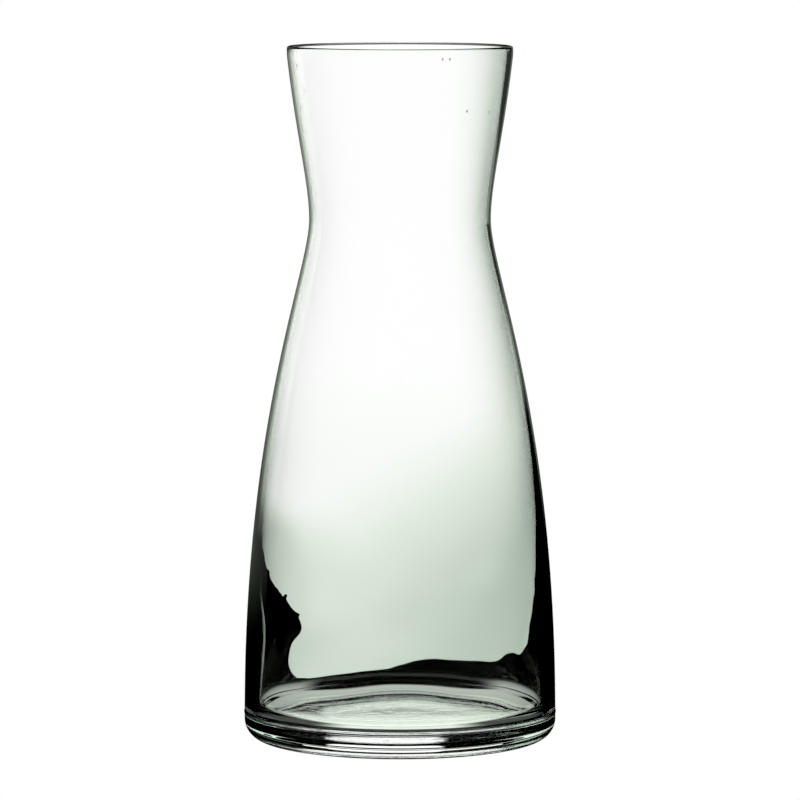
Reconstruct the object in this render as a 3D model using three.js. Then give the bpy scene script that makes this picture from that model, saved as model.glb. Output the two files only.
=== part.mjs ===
// A clear glass carafe: round all the way, with no handle, no spout and no lid.
// The real thing is one piece of soda-lime glass. Its four zones are four solids here: the heavy base,
// the bell, the neck and the lip. Each one stands on the zone below it, on a level plane.
// Millimetres, +Z up. The origin is on the table, in the middle of the ring that the base stands on.

import * as THREE from 'three';

// Heights, each measured from where the one before it ends
const FLOOR_HEIGHT = 8.8; // table to the inside floor
const INNER_HEEL_RADIUS = 6; // floor to the top of the fillet that turns it up into the wall
const BELL_HEIGHT = 165.7; // top of that fillet to the waist
const NECK_HEIGHT = 56.5; // waist to the lip
const LIP_SIDE_HEIGHT = 2.1; // upright side of the lip, below its half-round top

// Outside radii
const BASE_RADIUS = 54;
const HEEL_RADIUS = 7;
const WAIST_RADIUS = 31.3;
const RIM_RADIUS = 38.9;

// Thickness of the glass
const BASE_WALL = 5;
const WAIST_WALL = 1.3;
const RIM_WALL = 1.8;
const THICK_FOOT_HEIGHT = 61; // height above the base in which most of the bell wall's extra thickness goes

// Underside: the flat ring that touches the table, and the hollow inside it
const STANDING_RING_WIDTH = 5;
const PUSH_UP_HEIGHT = 1.5;

// Form of the side: how far a curve keeps the direction of its end, as a share of the curve's own height
const BELL_FULLNESS = 0.605;
const BELL_WAIST_HOLD = 0.105;
const NECK_WAIST_HOLD = 0.215;
const NECK_FLARE_HOLD = 0.47;
const FLARE_SLOPE = 0.11; // widening of the neck for each unit of height, just under the lip

// Fineness of the solids
const FACETS = 48;
const ARC_STEPS = 6;
const BASE_SIDE_STEPS = 2;
const BELL_STEPS = 16;
const NECK_STEPS = 8;
const HALVINGS = 40; // enough to place a point on a curve far finer than any size here
const SAME_POINT = 1e-6;

// Level planes where the zones meet
const BASE_TOP = FLOOR_HEIGHT + INNER_HEEL_RADIUS;
const WAIST_LEVEL = BASE_TOP + BELL_HEIGHT;
const LIP_LEVEL = WAIST_LEVEL + NECK_HEIGHT;

const WAIST_INNER_RADIUS = WAIST_RADIUS - WAIST_WALL;
const RIM_INNER_RADIUS = RIM_RADIUS - RIM_WALL;

// Outside of the bell, from an upright start above the heel to an upright end at the waist.
function bellSide() {
  const height = WAIST_LEVEL - HEEL_RADIUS;
  return new THREE.CubicBezierCurve(
    new THREE.Vector2(BASE_RADIUS, HEEL_RADIUS),
    new THREE.Vector2(BASE_RADIUS, HEEL_RADIUS + BELL_FULLNESS * height),
    new THREE.Vector2(WAIST_RADIUS, WAIST_LEVEL - BELL_WAIST_HOLD * height),
    new THREE.Vector2(WAIST_RADIUS, WAIST_LEVEL),
  );
}

// Thickness of the bell's wall at one level, from the base's wall at its bottom to the waist's at its top.
function bellWall(level) {
  const rise = (level - BASE_TOP) / THICK_FOOT_HEIGHT;
  return WAIST_WALL + (BASE_WALL - WAIST_WALL) * Math.exp(-(rise ** 2));
}

// Side of the neck, upright at the waist and leaning out by the flare under the lip.
function neckSide(waistRadius, rimRadius) {
  const flareHeight = NECK_FLARE_HOLD * NECK_HEIGHT;
  return new THREE.CubicBezierCurve(
    new THREE.Vector2(waistRadius, WAIST_LEVEL),
    new THREE.Vector2(waistRadius, WAIST_LEVEL + NECK_WAIST_HOLD * NECK_HEIGHT),
    new THREE.Vector2(rimRadius - FLARE_SLOPE * flareHeight, LIP_LEVEL - flareHeight),
    new THREE.Vector2(rimRadius, LIP_LEVEL),
  );
}

// Point of a rising curve at one level.
function pointAtLevel(curve, level) {
  let low = 0;
  let high = 1;
  for (let halving = 0; halving < HALVINGS; halving += 1) {
    const middle = (low + high) / 2;
    if (curve.getPoint(middle).y < level) {
      low = middle;
    } else {
      high = middle;
    }
  }
  return new THREE.Vector2(curve.getPoint(high).x, level);
}

// Points of a rising curve from one level to another, evenly spaced in height.
function pointsBetween(curve, bottomLevel, topLevel, steps) {
  const points = [];
  for (let step = 0; step <= steps; step += 1) {
    points.push(pointAtLevel(curve, bottomLevel + ((topLevel - bottomLevel) * step) / steps));
  }
  return points;
}

// Points of a circular arc about a centre.
function arcPoints(centreRadius, centreLevel, radius, startAngle, endAngle, steps) {
  const clockwise = endAngle < startAngle;
  const arc = new THREE.EllipseCurve(centreRadius, centreLevel, radius, radius, startAngle, endAngle, clockwise);
  return arc.getPoints(steps);
}

// One outline from several runs of points, without the points that two runs share.
function outlineOf(...runs) {
  return runs.flat().filter((point, index, all) => index === 0 || point.distanceTo(all[index - 1]) > SAME_POINT);
}

// The same outline, closed on itself.
function closedOutlineOf(...runs) {
  const outline = outlineOf(...runs);
  outline.push(outline[0].clone());
  return outline;
}

// One zone of the carafe: its outline turned about the axis, in clear glass with a faint green cast.
function glassZone(name, outline) {
  const glass = new THREE.MeshStandardMaterial({
    color: 0xdce8df,
    roughness: 0.04,
    metalness: 0,
    transparent: true,
    opacity: 0.35,
  });
  const mesh = new THREE.Mesh(new THREE.LatheGeometry(outline, FACETS), glass);
  mesh.name = name;
  return mesh;
}

const bellOutside = bellSide();
const neckOutside = neckSide(WAIST_RADIUS, RIM_RADIUS);
const neckInside = neckSide(WAIST_INNER_RADIUS, RIM_INNER_RADIUS);

// Point of the inside of the bell, straight in from a point of its outside.
function throughWall(point) {
  return new THREE.Vector2(point.x - bellWall(point.y), point.y);
}

// Base: push-up, standing ring, heel, the foot of the side, and the floor with its fillet.
function baseOutline() {
  const ringOuterRadius = BASE_RADIUS - HEEL_RADIUS;
  const pushUpRadius = ringOuterRadius - STANDING_RING_WIDTH;
  const pushUp = new THREE.QuadraticBezierCurve(
    new THREE.Vector2(0, PUSH_UP_HEIGHT),
    new THREE.Vector2(pushUpRadius / 2, PUSH_UP_HEIGHT),
    new THREE.Vector2(pushUpRadius, 0),
  );
  const innerRadius = throughWall(pointAtLevel(bellOutside, BASE_TOP)).x;
  const floorRadius = innerRadius - INNER_HEEL_RADIUS;
  return outlineOf(
    pushUp.getPoints(ARC_STEPS),
    arcPoints(ringOuterRadius, HEEL_RADIUS, HEEL_RADIUS, -Math.PI / 2, 0, ARC_STEPS),
    pointsBetween(bellOutside, HEEL_RADIUS, BASE_TOP, BASE_SIDE_STEPS),
    arcPoints(floorRadius, BASE_TOP, INNER_HEEL_RADIUS, 0, -Math.PI / 2, ARC_STEPS),
    [new THREE.Vector2(0, FLOOR_HEIGHT)],
  );
}

// Bell: the body wall, thick at the base and thinning towards the waist.
function bellOutline() {
  const outside = pointsBetween(bellOutside, BASE_TOP, WAIST_LEVEL, BELL_STEPS);
  return closedOutlineOf(outside, outside.map(throughWall).reverse());
}

// Neck: the flared wall between the waist and the lip.
function neckOutline() {
  return closedOutlineOf(
    pointsBetween(neckOutside, WAIST_LEVEL, LIP_LEVEL, NECK_STEPS),
    pointsBetween(neckInside, WAIST_LEVEL, LIP_LEVEL, NECK_STEPS).reverse(),
  );
}

// Lip: an upright ring with a half-round top, as wide as the rim's wall.
function lipOutline() {
  const roundRadius = RIM_WALL / 2;
  const roundLevel = LIP_LEVEL + LIP_SIDE_HEIGHT;
  return closedOutlineOf(
    [new THREE.Vector2(RIM_RADIUS, LIP_LEVEL)],
    arcPoints(RIM_RADIUS - roundRadius, roundLevel, roundRadius, 0, Math.PI, ARC_STEPS),
    [new THREE.Vector2(RIM_INNER_RADIUS, LIP_LEVEL)],
  );
}

const carafe = new THREE.Group();
carafe.add(glassZone('base', baseOutline()));
carafe.add(glassZone('bell', bellOutline()));
carafe.add(glassZone('neck', neckOutline()));
carafe.add(glassZone('lip', lipOutline()));
carafe.rotation.x = Math.PI / 2; // the outlines are turned about Y, and the carafe stands along Z

export default carafe;
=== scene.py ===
import bisect
import math

import bmesh
import bpy
from mathutils import Matrix, Vector, geometry, noise


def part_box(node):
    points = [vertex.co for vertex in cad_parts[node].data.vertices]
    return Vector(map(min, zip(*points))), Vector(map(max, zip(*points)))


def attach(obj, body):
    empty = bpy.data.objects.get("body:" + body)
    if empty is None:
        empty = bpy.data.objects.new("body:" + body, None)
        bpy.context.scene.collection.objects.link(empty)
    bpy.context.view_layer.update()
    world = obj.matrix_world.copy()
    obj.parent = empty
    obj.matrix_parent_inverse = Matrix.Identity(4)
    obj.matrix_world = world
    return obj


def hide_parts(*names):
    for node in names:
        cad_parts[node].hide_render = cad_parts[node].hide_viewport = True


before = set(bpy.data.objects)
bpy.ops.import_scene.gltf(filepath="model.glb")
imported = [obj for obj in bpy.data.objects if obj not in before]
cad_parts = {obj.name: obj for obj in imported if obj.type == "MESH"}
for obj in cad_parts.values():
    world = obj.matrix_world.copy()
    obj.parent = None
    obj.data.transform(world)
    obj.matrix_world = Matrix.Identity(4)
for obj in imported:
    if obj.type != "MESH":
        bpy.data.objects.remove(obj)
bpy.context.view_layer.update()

# The carafe's glass
# One piece of clear soda-lime glass with a faint green cast, pressed and blown in a mould, melted round at
# the rim and left thick at the bottom for weight. Base, bell, neck and lip are one skin, with no joint.
base_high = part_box("base")[1]
bell_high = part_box("bell")[1]
lip_low, lip_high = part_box("lip")

base_radius = base_high.x
waist_radius = 0.0313
rim_radius = lip_high.x
base_wall = 0.005
waist_wall = 0.0013
rim_wall = 0.0018
thick_foot_height = 0.061
heel_radius = 0.007
inner_heel_radius = 0.006
standing_ring_width = 0.005
push_up_height = 0.0015
bell_fullness = 0.605
bell_waist_hold = 0.105
neck_waist_hold = 0.215
neck_flare_hold = 0.47
flare_slope = 0.11

floor_level = base_high.z - inner_heel_radius
waist_level = bell_high.z
lip_level = lip_low.z
ring_outer_radius = base_radius - heel_radius
push_up_radius = ring_outer_radius - standing_ring_width
waist_inner_radius = waist_radius - waist_wall
rim_inner_radius = rim_radius - rim_wall

# How fine the skin is: steps round the axis, and rings along each run of the outline
turn_steps = 240
push_up_rings = 24
standing_rings = 4
heel_rings = 20
foot_rings = 40
bell_points = 400
bell_stride = 6
wrinkle_stride = 2
neck_rings = 30
lip_rings = 20
fillet_rings = 24
floor_rings = 40
seam_clearance = 0.0003
same_point = 1e-6

# The mould's parting line is a fine raised bead round the heel.
parting_level = 0.0094
parting_height = 0.00018
parting_width = 0.0004

# The plunger left a shallow groove round the floor.
groove_radius = 0.0428
groove_depth = 0.0002
groove_width = 0.0009

# Near the bottom the inside never touched the mould. It cooled in low waves, with patches of fine wrinkles.
settle_depth = 0.0003
settle_top = 0.075
settle_grain = 55
wrinkle_depth = 0.00003
wrinkle_top = 0.055
wrinkle_grain = Vector((45, 45, 260))
patch_grain = 38


def on_profile(radius, level):
    return Vector((radius, 0, level))


def bell_curve():
    height = waist_level - heel_radius
    return geometry.interpolate_bezier(
        on_profile(base_radius, heel_radius),
        on_profile(base_radius, heel_radius + bell_fullness * height),
        on_profile(waist_radius, waist_level - bell_waist_hold * height),
        on_profile(waist_radius, waist_level),
        bell_points,
    )


def neck_curve(bottom_radius, top_radius, count):
    height = lip_level - waist_level
    flare_height = neck_flare_hold * height
    return geometry.interpolate_bezier(
        on_profile(bottom_radius, waist_level),
        on_profile(bottom_radius, waist_level + neck_waist_hold * height),
        on_profile(top_radius - flare_slope * flare_height, lip_level - flare_height),
        on_profile(top_radius, lip_level),
        count,
    )


def radius_on(curve, level):
    above = bisect.bisect(curve, level, 1, len(curve) - 1, key=lambda point: point.z)
    low, high = curve[above - 1], curve[above]
    return low.x + (high.x - low.x) * (level - low.z) / (high.z - low.z)


def bell_wall(level):
    rise = (level - base_high.z) / thick_foot_height
    return waist_wall + (base_wall - waist_wall) * math.exp(-(rise ** 2))


def through_wall(point):
    return on_profile(point.x - bell_wall(point.z), point.z)


def round_arc(centre_radius, centre_level, radius, start, end, count):
    points = []
    for step in range(count):
        angle = math.radians(start + (end - start) * step / (count - 1))
        reach = centre_radius + radius * math.cos(angle)
        points.append(on_profile(reach, centre_level + radius * math.sin(angle)))
    return points


def level_run(start_radius, end_radius, level, count):
    span = end_radius - start_radius
    return [on_profile(start_radius + span * step / count, level) for step in range(count)]


def push_up_curve(count):
    points = []
    for step in range(count):
        share = step / count
        points.append(on_profile(push_up_radius * share, push_up_height * (1 - share ** 2)))
    return points


def foot_side(bell, count):
    points = []
    for step in range(count):
        level = heel_radius + (base_high.z - heel_radius) * step / count
        bead = parting_height * math.exp(-(((level - parting_level) / parting_width) ** 2))
        points.append(on_profile(radius_on(bell, level) + bead, level))
    return points


def with_groove(point):
    dip = groove_depth * math.exp(-(((point.x - groove_radius) / groove_width) ** 2))
    return on_profile(point.x, point.z - dip)


def glass_profile():
    bell = bell_curve()
    above_base = [point for point in bell if point.z > base_high.z + seam_clearance]
    outer_bell = above_base[::bell_stride] + [bell[-1]]
    wrinkled = [point for point in above_base if point.z < wrinkle_top]
    inner_bell = wrinkled[::wrinkle_stride] + above_base[len(wrinkled)::bell_stride] + [bell[-1]]
    fillet_top = through_wall(on_profile(radius_on(bell, base_high.z), base_high.z))
    floor_radius = fillet_top.x - inner_heel_radius
    fillet = round_arc(floor_radius, base_high.z, inner_heel_radius, 0, -90, fillet_rings)
    cavity_floor = level_run(floor_radius, 0, floor_level, floor_rings)[1:]
    lip_round = rim_wall / 2
    runs = [
        push_up_curve(push_up_rings),
        level_run(push_up_radius, ring_outer_radius, 0, standing_rings),
        round_arc(ring_outer_radius, heel_radius, heel_radius, -90, 0, heel_rings)[:-1],
        foot_side(bell, foot_rings),
        outer_bell,
        neck_curve(waist_radius, rim_radius, neck_rings)[1:],
        round_arc(rim_radius - lip_round, lip_high.z - lip_round, lip_round, 0, 180, lip_rings),
        neck_curve(waist_inner_radius, rim_inner_radius, neck_rings)[::-1],
        [through_wall(point) for point in inner_bell[-2::-1]],
        [with_groove(point) for point in fillet],
        [with_groove(point) for point in cavity_floor],
        [on_profile(0, floor_level)],
    ]
    return [point for run in runs for point in run]


def bump_between(level, bottom, top):
    return math.sin(math.pi * min(max((level - bottom) / (top - bottom), 0), 1))


def settle(shape):
    bell = bell_curve()
    for vert in shape.verts:
        level = vert.co.z
        if not base_high.z < level < settle_top:
            continue
        radius = math.hypot(vert.co.x, vert.co.y)
        if radius > radius_on(bell, level) - bell_wall(level) / 2:
            continue
        wave = noise.noise(vert.co * settle_grain)
        push = settle_depth * bump_between(level, base_high.z, settle_top) * wave
        patch = max(noise.noise(vert.co * patch_grain), 0)
        wrinkle = noise.noise(wrinkle_grain * vert.co)
        push += wrinkle_depth * bump_between(level, base_high.z, wrinkle_top) * patch * wrinkle
        vert.co.x *= 1 + push / radius
        vert.co.y *= 1 + push / radius


# A few seeds, bubbles of gas finer than a pinhead, are left in the wall of the neck and bell.
# Each is given by its bearing from the front, in degrees, and its level.
seed_radius = 0.00032
seed_stretch = 1.4
seed_fineness = 2
front_bearing = -90
seeds = [(-67, 0.2339), (-69, 0.2195), (22, 0.2366), (26, 0.2366), (39, 0.2188), (57, 0.2181),
         (-110, 0.224), (95, 0.199), (110, 0.142), (-98, 0.151), (-93, 0.118), (96, 0.101)]


def wall_middle(level):
    if level > waist_level:
        outside = neck_curve(waist_radius, rim_radius, 2 * neck_rings)
        inside = neck_curve(waist_inner_radius, rim_inner_radius, 2 * neck_rings)
        return (radius_on(outside, level) + radius_on(inside, level)) / 2
    return radius_on(bell_curve(), level) - bell_wall(level) / 2


def add_seeds(shape):
    stretch = Matrix.Diagonal((1, 1, seed_stretch, 1))
    for bearing, level in seeds:
        turn = Matrix.Rotation(math.radians(bearing + front_bearing), 4, "Z")
        place = turn @ Matrix.Translation((wall_middle(level), 0, level)) @ stretch
        made = bmesh.ops.create_icosphere(
            shape,
            subdivisions=seed_fineness,
            radius=seed_radius,
            matrix=place,
        )
        skin = {face for vert in made["verts"] for face in vert.link_faces}
        bmesh.ops.reverse_faces(shape, faces=list(skin))


def turned_glass(name):
    mesh = bpy.data.meshes.new(name)
    shape = bmesh.new()
    ring = [shape.verts.new(point) for point in glass_profile()]
    edges = [shape.edges.new(pair) for pair in zip(ring, ring[1:])]
    bmesh.ops.spin(
        shape,
        geom=ring + edges,
        cent=(0, 0, 0),
        axis=(0, 0, 1),
        angle=math.tau,
        steps=turn_steps,
        use_merge=True,
    )
    bmesh.ops.remove_doubles(shape, verts=shape.verts, dist=same_point)
    bmesh.ops.recalc_face_normals(shape, faces=shape.faces)
    settle(shape)
    add_seeds(shape)
    for face in shape.faces:
        face.smooth = True
    shape.to_mesh(mesh)
    shape.free()
    piece = bpy.data.objects.new(name, mesh)
    bpy.context.scene.collection.objects.link(piece)
    return piece


def object_place(tree):
    return tree.nodes.new("ShaderNodeTexCoord").outputs["Object"]


def parts_of(tree, vector):
    split = tree.nodes.new("ShaderNodeSeparateXYZ")
    tree.links.new(vector, split.inputs["Vector"])
    return split.outputs


def vector_step(tree, operation, vector, other=(0, 0, 0)):
    step = tree.nodes.new("ShaderNodeVectorMath")
    step.operation = operation
    step.inputs[1].default_value = other
    tree.links.new(vector, step.inputs[0])
    return step.outputs


rising = (0, 1)
falling = (1, 0)


def fade(tree, value, span, levels=rising):
    ramp = tree.nodes.new("ShaderNodeMapRange")
    ramp.interpolation_type = "SMOOTHSTEP"
    ramp.inputs["From Min"].default_value, ramp.inputs["From Max"].default_value = span
    ramp.inputs["To Min"].default_value, ramp.inputs["To Max"].default_value = levels
    tree.links.new(value, ramp.inputs["Value"])
    return ramp.outputs["Result"]


def times(tree, first, second):
    product = tree.nodes.new("ShaderNodeMath")
    product.operation = "MULTIPLY"
    tree.links.new(first, product.inputs[0])
    tree.links.new(second, product.inputs[1])
    return product.outputs["Value"]


# The hollow under the base keeps the mould's stippled, wavy skin. All other faces are clear and bright.
hollow_blur = 0.0015
hollow_edge = (push_up_radius - hollow_blur, push_up_radius)
hollow_top = (0.002, 0.003)
stipple_roughness = (0.032, 0.08)
stipple_band = (0.35, 0.65)
stipple_grain = 420
stipple_detail = 2
wave_height = 0.0003
wave_grain = 140
wave_detail = 3
wave_swirl = 1.2

white_colour = (1, 1, 1, 1)
glass_index = 1.52
glass_green = (0.22, 0.71, 0.39, 1)
green_density = 3


def grain(tree, place, scale, detail, swirl=0):
    pattern = tree.nodes.new("ShaderNodeTexNoise")
    pattern.inputs["Scale"].default_value = scale
    pattern.inputs["Detail"].default_value = detail
    pattern.inputs["Distortion"].default_value = swirl
    tree.links.new(place, pattern.inputs["Vector"])
    return pattern.outputs["Fac"]


def under_base(tree, place):
    flat = vector_step(tree, "MULTIPLY", place, (1, 1, 0))["Vector"]
    radius = vector_step(tree, "LENGTH", flat)["Value"]
    inside_ring = fade(tree, radius, hollow_edge, falling)
    return times(tree, inside_ring, fade(tree, parts_of(tree, place)["Z"], hollow_top, falling))


def clear_glass():
    material = bpy.data.materials.new("clear_glass")
    material.use_nodes = True
    tree = material.node_tree
    place = object_place(tree)
    under = under_base(tree, place)
    speckle = grain(tree, place, stipple_grain, stipple_detail)
    stipple = fade(tree, speckle, stipple_band, stipple_roughness)
    ripple = grain(tree, place, wave_grain, wave_detail, wave_swirl)
    waves = tree.nodes.new("ShaderNodeBump")
    waves.inputs["Distance"].default_value = wave_height
    tree.links.new(times(tree, under, ripple), waves.inputs["Height"])
    skin = tree.nodes["Principled BSDF"]
    skin.inputs["Base Color"].default_value = white_colour
    skin.inputs["IOR"].default_value = glass_index
    skin.inputs["Transmission Weight"].default_value = 1
    tree.links.new(times(tree, under, stipple), skin.inputs["Roughness"])
    tree.links.new(waves.outputs["Normal"], skin.inputs["Normal"])
    tint = tree.nodes.new("ShaderNodeVolumeAbsorption")
    tint.inputs["Color"].default_value = glass_green
    tint.inputs["Density"].default_value = green_density
    tree.links.new(tint.outputs["Volume"], tree.nodes["Material Output"].inputs["Volume"])
    return material


carafe = turned_glass("carafe_glass")
carafe.data.materials.append(clear_glass())
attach(carafe, "root")
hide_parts("base", "bell", "neck", "lip")

# Camera
# A long lens almost two metres away, a little above the rim, tipped down to hold the whole carafe.
camera_distance = 1.85
camera_level = 0.3
camera_tip = 5.627
sensor_width = 36
lens_length = 242

camera_data = bpy.data.cameras.new("camera")
camera_data.sensor_width = sensor_width
camera_data.lens = lens_length
camera = bpy.data.objects.new("camera", camera_data)
camera.location = (0, -camera_distance, camera_level)
camera.rotation_euler = (math.radians(90 - camera_tip), 0, 0)
bpy.context.scene.collection.objects.link(camera)
bpy.context.scene.camera = camera

# Floor, backdrop and light
# A white floor in a white room, and behind the carafe a lit panel that fades to the right and down. Dark and
# lit cards show only through the glass and draw its edges, as painted shade and painted highlights. What
# panel, cards and room give changes with how often a ray was mirrored or passed through the glass, and is
# set for the camera above.
black_colour = (0, 0, 0, 1)


def blend(tree, share, first, second):
    mixed = tree.nodes.new("ShaderNodeMix")
    for value, socket in ((share, "Factor"), (first, "A"), (second, "B")):
        if isinstance(value, (int, float)):
            mixed.inputs[socket].default_value = value
        else:
            tree.links.new(value, mixed.inputs[socket])
    return mixed.outputs["Result"]


def band(tree, value, start, end, level=1):
    return times(tree, fade(tree, value, start, (0, level)), fade(tree, value, end, falling))


# How often a ray was mirrored, and how many faces of glass it passed
cavity_faces = 3
ceiling_faces = 4
floor_faces = 5
twice = 2
thrice = 3


def at_least(tree, kind, count):
    test = tree.nodes.new("ShaderNodeMath")
    test.operation = "GREATER_THAN"
    test.inputs[1].default_value = count - 0.5
    tree.links.new(tree.nodes.new("ShaderNodeLightPath").outputs[kind], test.inputs[0])
    return test.outputs["Value"]


def mirrored(tree, count=1):
    return at_least(tree, "Glossy Depth", count)


def passed_faces(tree, count=1):
    return at_least(tree, "Transmission Depth", count)


def crossed_cavity(tree):
    return passed_faces(tree, cavity_faces)


def glow(name, colour, strength=1):
    material = bpy.data.materials.new(name)
    material.use_nodes = True
    nodes = material.node_tree.nodes
    nodes.remove(nodes["Principled BSDF"])
    light = nodes.new("ShaderNodeEmission")
    light.inputs["Color"].default_value = colour
    light.inputs["Strength"].default_value = strength
    material.node_tree.links.new(light.outputs["Emission"], nodes["Material Output"].inputs["Surface"])
    return material


def set_strength(tree, strength):
    tree.links.new(strength, tree.nodes["Emission"].inputs["Strength"])


# Floor
floor_half_size = 6

floor_mesh = bpy.data.meshes.new("floor")
floor_shape = bmesh.new()
bmesh.ops.create_grid(floor_shape, x_segments=1, y_segments=1, size=floor_half_size)
floor_shape.to_mesh(floor_mesh)
floor_shape.free()
floor = bpy.data.objects.new("floor", floor_mesh)
floor.data.materials.append(glow("floor_white", white_colour))
bpy.context.scene.collection.objects.link(floor)
floor.visible_transmission = False
floor.visible_glossy = False

# Room
room_seen = 1
room_light = 1.18
ceiling_span = (0.45, 0.65)


def white_room():
    world = bpy.data.worlds.new("room")
    world.use_nodes = True
    tree = world.node_tree
    background = tree.nodes["Background"]
    background.inputs["Color"].default_value = white_colour
    room_level = blend(tree, at_least(tree, "Is Camera Ray", 1), room_light, room_seen)
    upward = parts_of(tree, tree.nodes.new("ShaderNodeTexCoord").outputs["Generated"])["Z"]
    up_from_floor = times(tree, passed_faces(tree, ceiling_faces), mirrored(tree, thrice))
    from_cavity = blend(tree, passed_faces(tree, floor_faces), up_from_floor, 1)
    ceiling = times(tree, from_cavity, fade(tree, upward, ceiling_span))
    tree.links.new(blend(tree, mirrored(tree), room_level, ceiling), background.inputs["Strength"])
    return world


bpy.context.scene.world = white_room()

# Cards, with outlines in millimetres
mm_in_metre = 1000
card_fineness = 8
ring_knots = 48


def only_through_glass(obj):
    obj.visible_camera = False
    obj.visible_diffuse = False
    obj.visible_glossy = False
    obj.visible_shadow = False
    return obj


def card(name, outline, material, place, upright=False, rounded=False):
    curve = bpy.data.curves.new(name, "CURVE")
    curve.dimensions = "2D"
    curve.fill_mode = "BOTH"
    curve.resolution_u = card_fineness
    spline = curve.splines.new("BEZIER")
    spline.bezier_points.add(len(outline) - 1)
    spline.use_cyclic_u = True
    for knot, (across, along) in zip(spline.bezier_points, outline):
        knot.co = (across / mm_in_metre, along / mm_in_metre, 0)
        knot.handle_left_type = knot.handle_right_type = "AUTO" if rounded else "VECTOR"
    curve.materials.append(material)
    obj = bpy.data.objects.new(name, curve)
    obj.location = place
    if upright:
        obj.rotation_euler = (math.radians(90), 0, 0)
    bpy.context.scene.collection.objects.link(obj)
    return only_through_glass(obj)


def rectangle(left, bottom, right, top):
    return [(left, bottom), (right, bottom), (right, top), (left, top)]


def ring_outline(radius):
    turns = [math.tau * knot / ring_knots for knot in range(ring_knots)]
    return [(radius * math.cos(turn), radius * math.sin(turn)) for turn in turns]


# Lit panel behind the carafe. A span is where a tone starts and ends its change, in metres across or up it.
panel_plane = 0.45
panel_outline = rectangle(-800, -400, 210, 420)
panel_level = 1.2
far_left_span = (-0.36, -0.33)

slope_direction = (-0.63, 1, 0)
slope_span = (-0.1, 0.05)
slope_levels = (0.57, 0.99)
low_left_span = (-0.13, -0.015)
low_left_levels = (0.66, 1)
low_left_top = (-0.02, 0.01)
high_right_span = (0.03, 0.1)
high_right_levels = (1, 0.82)
high_right_foot = (0.03, 0.09)
low_right_level = 0.97

darkest_stop = 0.4
darkest_tone = (0.35, 0.435, 0.36, 1)
middle_tones = [(0.72, (0.64, 0.718, 0.635, 1)), (0.85, (0.76, 0.833, 0.74, 1))]
mirror_green = (0.9, 1, 0.87, 1)


def panel_tone(tree, place, across, upward, far_left):
    low_left = fade(tree, across, low_left_span, low_left_levels)
    left_part = blend(tree, fade(tree, upward, low_left_top), low_left, 1)
    high_right = fade(tree, across, high_right_span, high_right_levels)
    right_part = blend(tree, fade(tree, upward, high_right_foot), low_right_level, high_right)
    slant = vector_step(tree, "DOT_PRODUCT", place, slope_direction)["Value"]
    sloping = fade(tree, slant, slope_span, slope_levels)
    return blend(tree, far_left, times(tree, times(tree, left_part, right_part), sloping), 1)


def panel_tint(tree, tone):
    tint = tree.nodes.new("ShaderNodeValToRGB")
    stops = tint.color_ramp.elements
    stops[0].position = darkest_stop
    stops[0].color = darkest_tone
    stops[1].color = white_colour
    for position, colour in middle_tones:
        stops.new(position).color = colour
    tree.links.new(tone, tint.inputs["Fac"])
    return tint.outputs["Color"]


def greener_when_mirrored(tree, colour):
    mix = tree.nodes.new("ShaderNodeMix")
    mix.data_type = "RGBA"
    mix.blend_type = "MULTIPLY"
    sockets = {socket.identifier: socket for socket in mix.inputs}
    sockets["B_Color"].default_value = mirror_green
    tree.links.new(mirrored(tree), sockets["Factor_Float"])
    tree.links.new(colour, sockets["A_Color"])
    return {socket.identifier: socket for socket in mix.outputs}["Result_Color"]


# What the panel gives a ray that was never mirrored
left_bright_span = (-0.2, -0.045)
left_bright_levels = (2.3, panel_level)
left_end_span = (-0.305, -0.3)
left_end_level = 0.9
right_bright_span = (0.1, 0.16)
right_bright_level = 1.5
low_right_levels = (panel_level, 1.45)
bright_foot = (0.03, 0.12)
rim_shade_span = (0.17, 0.2)
rim_shade_levels = (0.2, panel_level)


def panel_straight(tree, across, upward, far_left):
    left_bright = fade(tree, across, left_bright_span, left_bright_levels)
    left_end = fade(tree, across, left_end_span, falling)
    left_sides = blend(tree, left_end, left_bright, left_end_level)
    high_sides = blend(tree, fade(tree, across, right_bright_span), left_sides, right_bright_level)
    low_sides = fade(tree, across, right_bright_span, low_right_levels)
    crossing = blend(tree, fade(tree, upward, bright_foot), low_sides, high_sides)
    rim_shade = fade(tree, upward, rim_shade_span, rim_shade_levels)
    near = blend(tree, crossed_cavity(tree), rim_shade, crossing)
    return blend(tree, far_left, near, panel_level)


# What it gives a mirrored ray: glints along the two edges, and on the cavity's floor
left_glint_span = (-0.14, -0.05)
left_glint_foot = (-0.03, 0.03)
left_skin_level = 0.12
left_wall_span = (-0.28, -0.2)
left_wall_levels = (1, 0.4)
left_wall_rise = (0.1, 0.18)
left_wall_rise_levels = (0.6, 0.9)
right_glint_span = (0.03, 0.06)
right_glint_foot = (0.02, 0.08)
right_skin_level = 0.3
right_wall_level = 0.05
glint_middle = (-0.01, 0.01)
floor_glint_left = (-0.065, -0.05)
floor_glint_right = (0.085, 0.1)
floor_glint_bottom = (0.01, 0.02)
floor_glint_top = (0.14, 0.16)


def edge_glint(tree, across, upward):
    in_glass = passed_faces(tree)
    left_fade = fade(tree, across, left_glint_span, falling)
    left_side = times(tree, left_fade, fade(tree, upward, left_glint_foot))
    wall_fade = fade(tree, across, left_wall_span, left_wall_levels)
    left_wall = times(tree, wall_fade, fade(tree, upward, left_wall_rise, left_wall_rise_levels))
    left_glint = times(tree, left_side, blend(tree, in_glass, left_skin_level, left_wall))
    right_fade = fade(tree, across, right_glint_span)
    right_side = times(tree, right_fade, fade(tree, upward, right_glint_foot))
    right_glint = times(tree, right_side, blend(tree, in_glass, right_skin_level, right_wall_level))
    return blend(tree, fade(tree, across, glint_middle), left_glint, right_glint)


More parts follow.
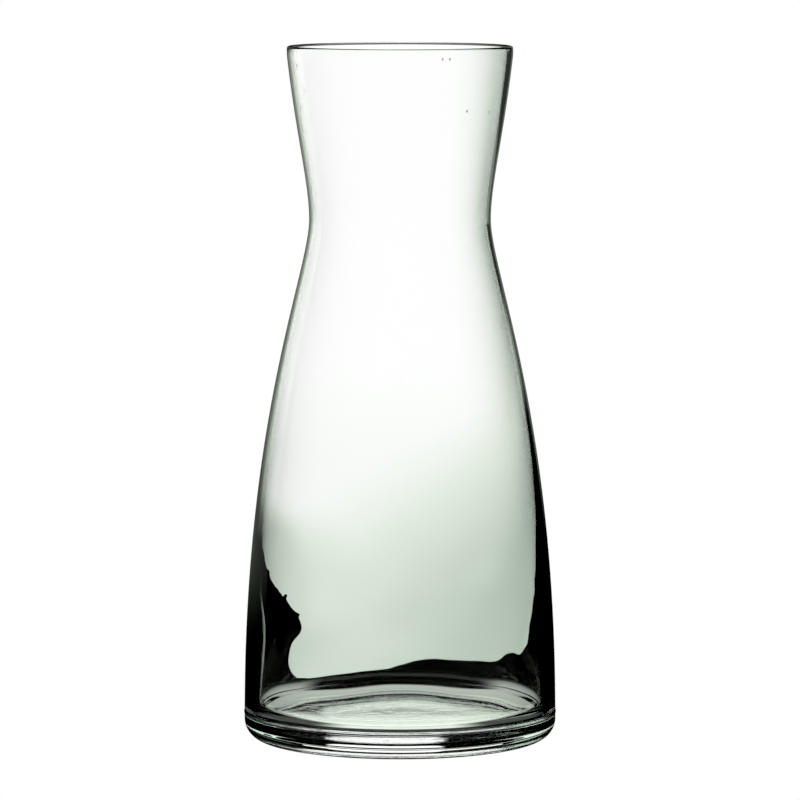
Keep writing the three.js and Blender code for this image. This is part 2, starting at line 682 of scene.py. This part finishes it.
def floor_glint(tree, across, upward):
    middle = band(tree, across, floor_glint_left, floor_glint_right)
    return times(tree, middle, band(tree, upward, floor_glint_bottom, floor_glint_top))


def panel_light():
    material = glow("panel_light", white_colour)
    tree = material.node_tree
    place = object_place(tree)
    sides = parts_of(tree, place)
    across, upward = sides["X"], sides["Y"]
    far_left = fade(tree, across, far_left_span, falling)
    tint = panel_tint(tree, panel_tone(tree, place, across, upward, far_left))
    tree.links.new(greener_when_mirrored(tree, tint), tree.nodes["Emission"].inputs["Color"])
    straight = panel_straight(tree, across, upward, far_left)
    edges = edge_glint(tree, across, upward)
    glint = blend(tree, crossed_cavity(tree), edges, floor_glint(tree, across, upward))
    set_strength(tree, blend(tree, mirrored(tree), straight, glint))
    return material


panel = card("panel", panel_outline, panel_light(), (0, panel_plane, 0), upright=True)
panel.visible_glossy = True

# Card to the right of the panel, dark but for its far end and, in mirrored rays, the level of the waist
right_outline = rectangle(210, -150, 800, 420)
right_green = (0.9, 1, 0.9, 1)
far_right_span = (0.33, 0.36)
far_right_levels = (0, 1.2)
waist_light_foot = (0.08, 0.12)
waist_light_levels = (0, 0.35)
waist_light_top = (0.15, 0.165)
waist_light_top_levels = (1, 0.12)


def right_light():
    material = glow("right_light", right_green)
    tree = material.node_tree
    sides = parts_of(tree, object_place(tree))
    far_right = fade(tree, sides["X"], far_right_span, far_right_levels)
    waist_foot = fade(tree, sides["Y"], waist_light_foot, waist_light_levels)
    waist_top = fade(tree, sides["Y"], waist_light_top, waist_light_top_levels)
    in_wall = blend(tree, crossed_cavity(tree), times(tree, waist_foot, waist_top), 0)
    set_strength(tree, blend(tree, mirrored(tree), far_right, in_wall))
    return material


card("right_side", right_outline, right_light(), (0, panel_plane, 0), upright=True)

# Painted shade: a small dark flag low on the right, and the dark mat round the foot, seen only through the
# glass, which paint the dark wedges low in the body.
# The mat's outline goes right behind the foot, out along one arm, round the front and in along the other.
black = glow("painted_shade_black", black_colour, 0)
near_plane = 0.15
flag_outline = [(83, -12), (110, -12), (110, 30), (90, 25), (83, 12)]
mat_level = -0.0003
mat_back = [(-54, 136), (-44, 127), (-34, 116), (-26, 120), (-17, 130), (-8, 138), (0, 154), (10, 166),
            (31, 157), (39, 161), (46, 165), (56, 176), (74, 158), (87, 160)]
mat_right_arm = [(91, 172), (91, 196), (95, 221), (105, 238), (132, 269), (160, 277), (200, 275), (280, 300)]
mat_front = [(200, 150), (110, 60), (70, -55), (-70, -55), (-100, 45), (-128, 165)]
mat_left_arm = [(-205, 260), (-225, 330), (-205, 340), (-178, 307), (-142, 284), (-120, 283), (-105, 286),
                (-88, 274), (-73, 254), (-64, 252), (-61, 238), (-53, 182), (-55, 150)]
mat_outline = mat_back + mat_right_arm + mat_front + mat_left_arm

card("right_painted_shade", flag_outline, black, (0, near_plane, 0), upright=True)
card("painted_shade_mat", mat_outline, black, (0, 0, mat_level), rounded=True)

# Lit card under and round the foot: bright under the base, and a dimmer skirt outside it
foot_card_radius = 118
foot_card_level = -0.0002
foot_green = (0.91, 1, 0.89, 1)
foot_edge = (0.061, 0.063)
skirt_span = (0.062, 0.11)
skirt_levels = (0.55, 0.02)
skirt_gap = (0.03, 0.042)
ring_inner_edge = (0.042, 0.0435)
ring_outer_edge = (0.0465, 0.048)
ring_back_span = (0, 0.03)
ring_levels = (0.6, 1.3)
heel_level = 0.6
hollow_level = 1.2
front_line_edge = (0.045, 0.047)
front_line_levels = (0.05, 1)
front_line_half = (0.018, 0.034)
front_line_end_levels = (1, 0.08)
back_glint_start = (0.03, 0.036)
back_glint_levels = (0, 0.7)
back_glint_end = (0.08, 0.09)


def foot_straight(tree, reach, aside, backward, outside):
    skirt_fade = fade(tree, reach, skirt_span, skirt_levels)
    skirt = times(tree, skirt_fade, fade(tree, aside, skirt_gap))
    standing_ring = fade(tree, backward, ring_back_span, ring_levels)
    ring = blend(tree, fade(tree, reach, ring_outer_edge), standing_ring, heel_level)
    under_foot = blend(tree, fade(tree, reach, ring_inner_edge), hollow_level, ring)
    return blend(tree, outside, under_foot, skirt)


def foot_glint(tree, reach, aside, backward, outside):
    line_edge = fade(tree, reach, front_line_edge, front_line_levels)
    front_line = times(tree, line_edge, fade(tree, aside, front_line_half, front_line_end_levels))
    many = mirrored(tree, twice)
    once = blend(tree, many, front_line, 0)
    from_floor = blend(tree, passed_faces(tree, floor_faces), many, 0)
    back_start = fade(tree, backward, back_glint_start, back_glint_levels)
    back_glint = times(tree, back_start, fade(tree, reach, back_glint_end, falling))
    in_base = blend(tree, outside, once, 0)
    return blend(tree, crossed_cavity(tree), in_base, times(tree, from_floor, back_glint))


def foot_light():
    material = glow("foot_light", foot_green)
    tree = material.node_tree
    place = object_place(tree)
    reach = vector_step(tree, "LENGTH", place)["Value"]
    aside = parts_of(tree, vector_step(tree, "ABSOLUTE", place)["Vector"])["X"]
    backward = parts_of(tree, place)["Y"]
    outside = fade(tree, reach, foot_edge)
    straight = foot_straight(tree, reach, aside, backward, outside)
    glint = foot_glint(tree, reach, aside, backward, outside)
    set_strength(tree, blend(tree, mirrored(tree), straight, glint))
    return material


card("lit_foot", ring_outline(foot_card_radius), foot_light(), (0, 0, foot_card_level))

# Upright card behind the base, and a lit card on the floor before it, both clear to rays from the cavity
base_outline = rectangle(-60, 0, 60, 130)
base_pink = (1, 0.88, 0.95, 1)
strip_left = (-0.048, -0.046)
strip_right = (0.041, 0.043)
crescent_left = (-0.015, -0.013)
crescent_right = (0.026, 0.028)
strip_level = 1.5
strip_top = (0.014, 0.016)
glow_outline = rectangle(-30, 62, 30, 120)
glow_level = -0.0001


def through_base(material):
    tree = material.node_tree
    clear = tree.nodes.new("ShaderNodeBsdfTransparent")
    choice = tree.nodes.new("ShaderNodeMixShader")
    tree.links.new(crossed_cavity(tree), choice.inputs["Fac"])
    tree.links.new(tree.nodes["Emission"].outputs["Emission"], choice.inputs[1])
    tree.links.new(clear.outputs["BSDF"], choice.inputs[2])
    tree.links.new(choice.outputs["Shader"], tree.nodes["Material Output"].inputs["Surface"])
    return material


# Painted highlights: a bright strip and a crescent drawn on this card, seen only through the base.
def base_light():
    material = glow("base_light", base_pink)
    tree = material.node_tree
    sides = parts_of(tree, object_place(tree))
    strip = band(tree, sides["X"], strip_left, strip_right, strip_level)
    crescent = band(tree, sides["X"], crescent_left, crescent_right, strip_level)
    low = times(tree, strip, mirrored(tree))
    shine = blend(tree, fade(tree, sides["Y"], strip_top), low, crescent)
    set_strength(tree, blend(tree, mirrored(tree, twice), shine, strip))
    return through_base(material)


card("base_card", base_outline, base_light(), (0, near_plane, 0), upright=True)
card("base_glow", glow_outline, through_base(glow("base_glow", white_colour)), (0, 0, glow_level))

bpy.context.scene.view_settings.view_transform = "Standard"
